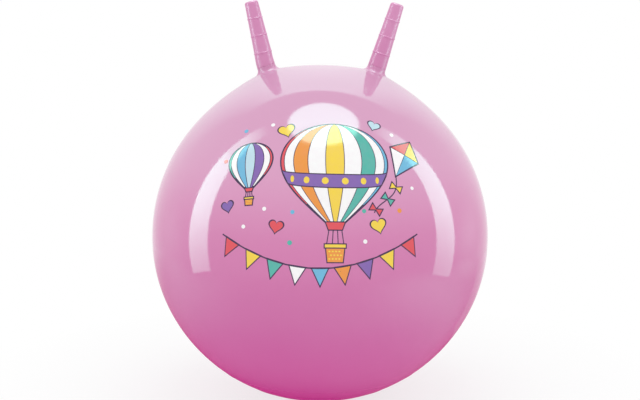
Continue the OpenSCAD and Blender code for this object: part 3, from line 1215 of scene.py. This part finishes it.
# Depth to which a film's underside sinks into the wall
FILM_SINK = 0.05 * MM
FILM_TOLERANCE = 1e-7
# Share of a step that inner points of a film keep clear of its edge
EDGE_CLEAR = 0.6
INKS = ("outline", "white", "pale_blue", "yellow", "orange", "coral", "teal", "sky", "violet")


def split_edges(shape, longest):
    """A closed shape whose long edges are cut into equal lengths."""
    cut = []
    for (u0, v0), (u1, v1) in zip(shape, shape[1:] + shape[:1]):
        parts = max(1, math.ceil(math.hypot(u1 - u0, v1 - v0) / longest))
        cut += [(u0 + (u1 - u0) * i / parts, v0 + (v1 - v0) * i / parts) for i in range(parts)]
    return cut


def inner_points(shape, step):
    """A grid of places well inside a closed shape."""
    low_u, high_u = min(u for u, v in shape), max(u for u, v in shape)
    low_v, high_v = min(v for u, v in shape), max(v for u, v in shape)
    points = []
    for row in range(1, math.ceil((high_v - low_v) / step)):
        for column in range(1, math.ceil((high_u - low_u) / step) + 1):
            place = (low_u + (column - 0.5 * (row % 2)) * step, low_v + row * step)
            clear = min(math.hypot(place[0] - u, place[1] - v) for u, v in shape)
            if clear > step * EDGE_CLEAR and in_polygon(place, shape):
                points.append(place)
    return points


def lay_film(bm, plane, shape, height, step):
    """Adds one closed film of ink, sunk a little into the ball's wall."""
    if signed_area(shape) < 0:
        shape = shape[::-1]
    edge = split_edges(shape, step)
    points = [Vector(p) for p in edge + inner_points(edge, step)]
    rim = [(i, (i + 1) % len(edge)) for i in range(len(edge))]
    flat, _, faces, _, _, _ = delaunay_2d_cdt(points, rim, [], 0, FILM_TOLERANCE)
    kept = [face for face in faces if in_polygon(middle_of(face, flat), edge)]
    used = sorted({i for face in kept for i in face})
    directions = {i: plane.direction(*flat[i]) for i in used}
    top = {i: bm.verts.new(plane.lift(directions[i], height)) for i in used}
    bottom = {i: bm.verts.new(plane.lift(directions[i], -FILM_SINK)) for i in used}
    sides = {(i, k) for face in kept for i, k in zip(face, face[1:] + face[:1])}
    for face in kept:
        bm.faces.new([top[i] for i in face])
        bm.faces.new([bottom[i] for i in reversed(face)])
    for i, k in sorted(sides):
        if (k, i) not in sides:
            bm.faces.new((top[k], top[i], bottom[i], bottom[k]))


def film_normals(mesh, form):
    """Gives films the normals of the ball under them, so that they shine as one with it."""
    normals = []
    for vert in mesh.vertices:
        out = Vector(vert.co) - form.centre
        direction = out.normalized()
        above = out.length > form.radius + form.swell(direction)
        normals.append(form.swell_normal(direction) * (1 if above else -1))
    mesh.normals_split_custom_set_from_vertices(normals)


class HOPPER_OT_front_print(bpy.types.Operator):
    """Prints the front of the ball, one film for each ink"""

    bl_idname = "hopper_ball.front_print"
    bl_label = "Front print"

    def execute(self, context):
        scene = context.scene
        sizes = scene.hopper_print
        form = BallForm(scene.hopper_ball)
        plane = PrintPlane(form, sizes.elevation)
        shapes = draw_front(sizes.outline / MM)
        for ink in INKS:
            bm = bmesh.new()
            for name, layer, shape in shapes:
                if name == ink:
                    lay_film(bm, plane, shape, sizes.film + layer * sizes.film_step, sizes.mesh_step / MM)
            piece = new_piece(bm, f"print_{ink}", print_ink(scene.hopper_colours, ink))
            film_normals(piece.data, form)
        return {"FINISHED"}


class HOPPER_OT_valve(bpy.types.Operator):
    """Gives the valve seat and its plug their plastic"""

    bl_idname = "hopper_ball.valve"
    bl_label = "Valve"

    def execute(self, context):
        material = valve_plastic(context.scene.hopper_colours)
        for node in ("valve_seat", "valve_plug"):
            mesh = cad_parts[node].data
            mesh.materials.clear()
            mesh.materials.append(material)
        return {"FINISHED"}


WHITE = (1, 1, 1, 1)
FLOOR_SIDES = 64
# Radii of the floor's rings, from the opening under the ball out
FLOOR_RADII = (36 * MM, 0.5, 1, 2, 4, 8, 16, 40.0)
FLOOR_PALING = 0.97
FLOOR_SPECULAR = 0.1
# Share of plain white that the camera sees on the floor under the ball, and where the floor turns all white
FLOOR_LIFT = 0.75
FLOOR_SEEN = (0.22, 0.58)
# Distances between which the painted pink glow on the floor runs out into white in reflections
FLOOR_MIRRORED = (0.25, 1.15)


def floor_paint(colours):
    """Pale paint that keeps a shadow, turns white further out and can't be seen from below; in reflections it
    glows with a painted pink near the ball and white further out.
    """
    material, w, shader = new_material("floor")
    pair = opaque(colours.floor), opaque(v * FLOOR_PALING for v in colours.floor)
    group = surface_group("Studio floor", cloud_scale=3.0, grain_scale=400.0)
    dress(w, shader, group, pair, cloudiness=0.3, smoothest=0.7, roughest=0.8, bump=0.02)
    w.feed(shader, {"Specular IOR Level": FLOOR_SPECULAR})
    away = w.vectors("LENGTH", w.add("ShaderNodeTexCoord").outputs["Object"])
    rays = w.add("ShaderNodeLightPath").outputs
    seen = w.maths("MULTIPLY", w.range(away, *FLOOR_SEEN, FLOOR_LIFT, 1.0), rays["Is Camera Ray"])
    bounced = w.maths("MAXIMUM", rays["Is Glossy Ray"], rays["Is Transmission Ray"])
    # Painted light: in reflections the floor near the ball glows pink, for light through the ball and its
    # shade, and white further out
    cast = w.mix(w.range(away, *FLOOR_MIRRORED, 0.0, 1.0), opaque(colours.floor_painted_glow), WHITE)
    shown = w.mix(rays["Is Camera Ray"], cast, WHITE)
    glow = w.add("ShaderNodeEmission", {"Color": shown, "Strength": 1.0}).outputs[0]
    share = w.maths("MAXIMUM", seen, bounced)
    lit = w.add("ShaderNodeMixShader", {0: share, 1: shader.outputs[0], 2: glow}).outputs[0]
    below = w.add("ShaderNodeNewGeometry").outputs["Backfacing"]
    clear = w.add("ShaderNodeBsdfTransparent").outputs[0]
    both = w.add("ShaderNodeMixShader", {0: below, 1: lit, 2: clear}).outputs[0]
    output = next(n for n in w.tree.nodes if n.type == "OUTPUT_MATERIAL")
    w.feed(output, {"Surface": both})
    return material


def lay_floor(colours):
    """A flat floor that is open under the ball."""
    bm = bmesh.new()
    revolve(bm, [(radius, 0) for radius in FLOOR_RADII], FLOOR_SIDES, Matrix.Identity(4))
    for face in bm.faces:
        face.normal_update()
        if face.normal.z < 0:
            face.normal_flip()
    mesh = bpy.data.meshes.new("floor")
    bm.to_mesh(mesh)
    bm.free()
    mesh.materials.append(floor_paint(colours))
    floor = bpy.data.objects.new("floor", mesh)
    bpy.context.scene.collection.objects.link(floor)


def light_world(scene, stage):
    """Even light from all round, which shows as plain white to the camera and in reflections."""
    world = bpy.data.worlds.new("studio")
    scene.world = world
    world.use_nodes = True
    world.cycles.sampling_method = "NONE"
    world.node_tree.nodes.clear()
    w = Wiring(world.node_tree)
    rays = w.add("ShaderNodeLightPath").outputs
    seen = w.maths("MAXIMUM", rays["Is Camera Ray"], rays["Is Glossy Ray"])
    seen = w.maths("MAXIMUM", seen, rays["Is Transmission Ray"])
    strength = w.range(seen, 0.0, 1.0, stage.fill, 1.0)
    sky = w.add("ShaderNodeBackground", {"Color": WHITE, "Strength": strength})
    w.add("ShaderNodeOutputWorld", {"Surface": sky.outputs[0]})


UP = Vector((0, 0, 1))
BACK = Vector((0, 1, 0))
# Colour of lamps that show only in reflections, against the pink of the vinyl under them
GLINT_TINT = (0.5, 1.0, 0.83)


def panel(name, middle, facing, up, size, radiance, glint=True, shape="RECTANGLE"):
    """A soft panel light that shows only in reflections, as a glint, or else only lights diffusely."""
    lamp = bpy.data.lights.new(name, "AREA")
    lamp.shape = shape
    lamp.size, lamp.size_y = size
    area = lamp.size * lamp.size_y * (math.pi / 4 if shape == "ELLIPSE" else 1.0)
    lamp.energy = radiance * 4 * area
    lamp.color = GLINT_TINT if glint else (1, 1, 1)
    light = bpy.data.objects.new(name, lamp)
    bpy.context.scene.collection.objects.link(light)
    back = -facing.normalized()
    across = up.cross(back).normalized()
    axes = Matrix((across, back.cross(across), back)).transposed()
    light.matrix_world = Matrix.Translation(middle) @ axes.to_4x4()
    light.visible_camera = False
    light.visible_diffuse = not glint
    light.visible_glossy = glint
    light.visible_transmission = False
    return light


def shape_glow(light, share_of, stops):
    """Makes a panel's light vary over its face; share_of turns X, Y and Z places into a share from 0 to 1."""
    light.data.use_nodes = True
    tree = light.data.node_tree
    tree.nodes.clear()
    w = Wiring(tree)
    place = w.add("ShaderNodeNewGeometry").outputs["Position"]
    axes = w.add("ShaderNodeSeparateXYZ", {"Vector": place}).outputs
    levels = [(share, (level, level, level)) for share, level in stops]
    strength = w.ramp(share_of(w, axes), levels, smooth=False)
    glow = w.add("ShaderNodeEmission", {"Color": strength, "Strength": 1.0})
    w.add("ShaderNodeOutputLight", {"Surface": glow.outputs[0]})


def between(axis, low, high):
    """Share of the way from one place to another along an axis."""
    return lambda w, axes: w.range(axes[axis], low, high, 0.0, 1.0)


def from_middle(**spans):
    """Share of the way from an oval's middle to its edge, from a middle and a half width on two axes."""
    def share(w, axes):
        squares = []
        for axis, (middle, half) in spans.items():
            away = w.maths("DIVIDE", w.maths("SUBTRACT", axes[axis], middle), half)
            squares.append(w.maths("MULTIPLY", away, away))
        return w.maths("POWER", w.maths("ADD", *squares), 0.5)

    return share


# Ramps of light from share to level: even from 0 to 1, and bright in the middle with a soft edge
EVEN_RAMP = ((0.0, 0.0), (1.0, 1.0))
SOFT_EDGE = ((0.0, 1.0), (0.25, 0.86), (0.5, 0.5), (0.75, 0.14), (1.0, 0.0))

KEY_HEIGHT = 1.75
KEY_SIZE = 1.5
# Height of the lamp above the reflection's panel
KEY_ABOVE = 0.1
OVERHEAD = Vector((0.05, -0.135, KEY_HEIGHT))
OVERHEAD_HALF_X = 0.495
OVERHEAD_HALF_Y = 0.49
# Share of the oval's half width that is plain, and its fall in level towards the back
OVERHEAD_PLAIN = 0.92
OVERHEAD_FADE = (-0.1, 0.36)
OVERHEAD_BACK_SHARE = 0.68


def by_oval_and_depth(w, axes):
    """Share that falls a little towards the back of the overhead softbox and ends softly at its edge."""
    out = from_middle(X=(OVERHEAD.x, OVERHEAD_HALF_X), Y=(OVERHEAD.y, OVERHEAD_HALF_Y))(w, axes)
    edge = w.range(out, OVERHEAD_PLAIN, 1.0, 1.0, 0.0)
    return w.maths("MULTIPLY", edge, w.range(axes["Y"], *OVERHEAD_FADE, 1.0, OVERHEAD_BACK_SHARE))


def hang_overhead(stage):
    """An oval softbox overhead, as a lamp and as its reflection."""
    lamp_place = Vector((0, 0, KEY_HEIGHT + KEY_ABOVE))
    panel("key", lamp_place, DOWN, BACK, (KEY_SIZE, KEY_SIZE), stage.key, glint=False)
    size = 2 * OVERHEAD_HALF_X, 2 * OVERHEAD_HALF_Y
    overhead = panel("key_glint", OVERHEAD, DOWN, BACK, size, stage.key_glint, shape="ELLIPSE")
    shape_glow(overhead, by_oval_and_depth, EVEN_RAMP)


FLOOR_GLOW_SIZE = 1.6
STRIP_REACH = 0.8
STRIP_WIDTH = 0.221
STRIP_LEAN = 0.117
STRIP_LOW = 0.03
STRIP_HIGH = 1.9
STRIP_LEVELS = (
    (0.0, 0.29), (0.08, 0.46), (0.13, 0.6), (0.21, 0.81), (0.28, 0.88), (0.43, 0.86),
    (0.48, 0.8), (0.53, 0.54), (0.68, 0.48), (0.75, 0.33), (1.0, 0.0),
)
# Name, side, place along Y, lower end and share of the strips' radiance
STRIPS = (
    ("left_strip", LEFT, -0.129, STRIP_LOW, 1.0),
    ("right_strip", RIGHT, -0.082, 2 * MM, 0.82),
)


def hang_strips(stage):
    """A tall strip light at each side, leaning back a little."""
    for name, side, along, low, share in STRIPS:
        tall = STRIP_HIGH - low
        place = Vector((side * STRIP_REACH, along, low + tall / 2))
        upright = Vector((0, STRIP_LEAN, 1))
        radiance = stage.strip_glint * share
        strip = panel(name, place, Vector((-side, 0, 0)), upright, (STRIP_WIDTH, tall), radiance)
        shape_glow(strip, between("Z", STRIP_LOW, STRIP_HIGH), STRIP_LEVELS)


# Round reflectors on the floor: name, place along X and Y, radius and share of the bounces' radiance
BOUNCES = (
    ("left_bounce", -0.62, -0.12, 0.5, 0.6),
    ("right_bounce", 0.56, -0.3, 0.58, 1.35),
    ("left_far_bounce", -0.9, 0.15, 0.35, 0.35),
    ("right_far_bounce", 0.9, 0.15, 0.35, 0.62),
)
# Lamps at one height hide each other, so each reflector lies a step above the one before
BOUNCE_STEP = MM
BOUNCE_FIRST = 2
# Low panels at the sides: name, side and share of the bounces' radiance
WINGS = (("left_wing", LEFT, 0.4), ("right_wing", RIGHT, 0.7))
WING_REACH = 0.85
WING_BACK = 0.12
WING_WIDTH = 0.8
WING_HEIGHT = 0.44
WING_FOOT = 2 * MM
# Height at which a wing is brightest
WING_GLOW = 0.22
# Card on the floor behind the ball to the right
CARD = Vector((0.473, 0.483, 7 * MM))
CARD_UP = Vector((-0.635, 0.772, 0))
CARD_SIZE = (0.75, 0.4)
CARD_SHARE = 0.2
CARD_SPAN = (0.3, 0.95)
CARD_LEVELS = ((0.0, 0.65), (0.25, 0.95), (0.4, 1.0), (0.6, 0.6), (0.85, 0.0))


def set_reflectors(stage):
    """Round reflectors and a card on the floor, and a low wing at each side."""
    for level, (name, x, y, half, share) in enumerate(BOUNCES, BOUNCE_FIRST):
        place = Vector((x, y, level * BOUNCE_STEP))
        radiance = stage.bounce_glint * share
        bounce = panel(name, place, UP, BACK, (2 * half, 2 * half), radiance, shape="ELLIPSE")
        shape_glow(bounce, from_middle(X=(x, half), Y=(y, half)), SOFT_EDGE)
    wing_share = from_middle(Y=(WING_BACK, WING_WIDTH / 2), Z=(WING_GLOW, WING_HEIGHT - WING_GLOW))
    for name, side, share in WINGS:
        place = Vector((side * WING_REACH, WING_BACK, WING_HEIGHT / 2 + WING_FOOT))
        facing = Vector((-side, 0, 0))
        wing = panel(name, place, facing, UP, (WING_WIDTH, WING_HEIGHT), stage.bounce_glint * share)
        shape_glow(wing, wing_share, SOFT_EDGE)
    card = panel("back_card", CARD, UP, CARD_UP, CARD_SIZE, stage.bounce_glint * CARD_SHARE)
    shape_glow(card, between("X", *CARD_SPAN), CARD_LEVELS)


BACK_REACH = 2.0
# Half width over which the back panel is plain, and its whole half width
BACK_PLAIN = 0.7
BACK_END = 2.3
BACK_LOW = 0.7
BACK_HIGH = 3.6


def by_height_and_side(w, axes):
    """Share that grows up the back panel and fades towards its sides."""
    side = w.range(w.maths("ABSOLUTE", axes["X"], 0.0), BACK_PLAIN, BACK_END, 1.0, 0.0)
    return w.maths("MULTIPLY", w.range(axes["Z"], BACK_LOW, BACK_HIGH, 0.0, 1.0), side)


def hang_back_panel(stage):
    """A wide panel behind the ball that grows brighter upwards."""
    place = Vector((0, BACK_REACH, (BACK_LOW + BACK_HIGH) / 2))
    behind = panel("back_panel", place, -BACK, UP, (2 * BACK_END, BACK_HIGH - BACK_LOW), stage.back_glint)
    shape_glow(behind, by_height_and_side, EVEN_RAMP)


def hang_lights(stage):
    """All lamps: overhead, from the floor, at the sides, low reflectors and behind."""
    hang_overhead(stage)
    place = Vector((0, 0, MM))
    size = FLOOR_GLOW_SIZE, FLOOR_GLOW_SIZE
    panel("floor_glow", place, UP, BACK, size, stage.floor_glow, glint=False, shape="ELLIPSE")
    hang_strips(stage)
    set_reflectors(stage)
    hang_back_panel(stage)


IMAGE_WIDTH_PX = 640
SENSOR_WIDTH_MM = 36.0
CAMERA_REACH = 200.0


def set_camera(scene, stage, centre):
    """The photograph's view: a little above the ball, with the ball's middle below the picture's middle."""
    data = bpy.data.cameras.new("camera")
    data.sensor_fit = "HORIZONTAL"
    data.sensor_width = SENSOR_WIDTH_MM
    data.lens = stage.lens
    data.clip_end = CAMERA_REACH
    camera = bpy.data.objects.new("camera", data)
    scene.collection.objects.link(camera)
    elevation = stage.camera_elevation
    out = Vector((0, -math.cos(elevation), math.sin(elevation)))
    camera.location = centre + out * stage.camera_distance
    focal_px = stage.lens / SENSOR_WIDTH_MM * IMAGE_WIDTH_PX
    down = elevation - math.atan(stage.drop_px / focal_px)
    camera.rotation_euler = (math.pi / 2 - down, 0, 0)
    scene.camera = camera


class HOPPER_OT_stage(bpy.types.Operator):
    """Sets up the floor, the world, the lights and the camera"""

    bl_idname = "hopper_ball.stage"
    bl_label = "Stage"

    def execute(self, context):
        scene = context.scene
        scene.view_settings.view_transform = "Standard"
        lay_floor(scene.hopper_colours)
        light_world(scene, scene.hopper_stage)
        hang_lights(scene.hopper_stage)
        set_camera(scene, scene.hopper_stage, BallForm(scene.hopper_ball).centre)
        return {"FINISHED"}


class HOPPER_PT_sidebar(bpy.types.Panel):
    """Lists the steps that build the hopper ball"""

    bl_idname = "HOPPER_PT_sidebar"
    bl_label = "Hopper ball"
    bl_space_type = "VIEW_3D"
    bl_region_type = "UI"
    bl_category = "Hopper ball"

    def draw(self, context):
        for step in STEPS:
            self.layout.operator(step.bl_idname)
        for name in GROUPS:
            group = getattr(context.scene, name)
            box = self.layout.box()
            for prop in group.bl_rna.properties.keys():
                if prop not in ("rna_type", "name"):
                    box.prop(group, prop)


GROUPS = {
    "hopper_ball": HopperBallSizes,
    "hopper_horn": HopperHornSizes,
    "hopper_print": HopperPrintSizes,
    "hopper_colours": HopperColours,
    "hopper_stage": HopperStage,
}
STEPS = (HOPPER_OT_ball_skin, HOPPER_OT_horns, HOPPER_OT_front_print, HOPPER_OT_valve, HOPPER_OT_stage)


def register():
    """Registers the classes and hangs the sizes and colours on the scene."""
    for cls in (*GROUPS.values(), *STEPS, HOPPER_PT_sidebar):
        bpy.utils.register_class(cls)
    for name, group in GROUPS.items():
        setattr(bpy.types.Scene, name, bpy.props.PointerProperty(type=group))


def unregister():
    """Takes the classes and the scene's sizes and colours away again."""
    for name in GROUPS:
        delattr(bpy.types.Scene, name)
    for cls in reversed((*GROUPS.values(), *STEPS, HOPPER_PT_sidebar)):
        bpy.utils.unregister_class(cls)


def main():
    """Builds the ball step by step."""
    register()
    bpy.ops.hopper_ball.ball_skin()
    bpy.ops.hopper_ball.horns()
    bpy.ops.hopper_ball.front_print()
    bpy.ops.hopper_ball.valve()
    bpy.ops.hopper_ball.stage()
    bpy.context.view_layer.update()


if __name__ == "__main__":
    main()
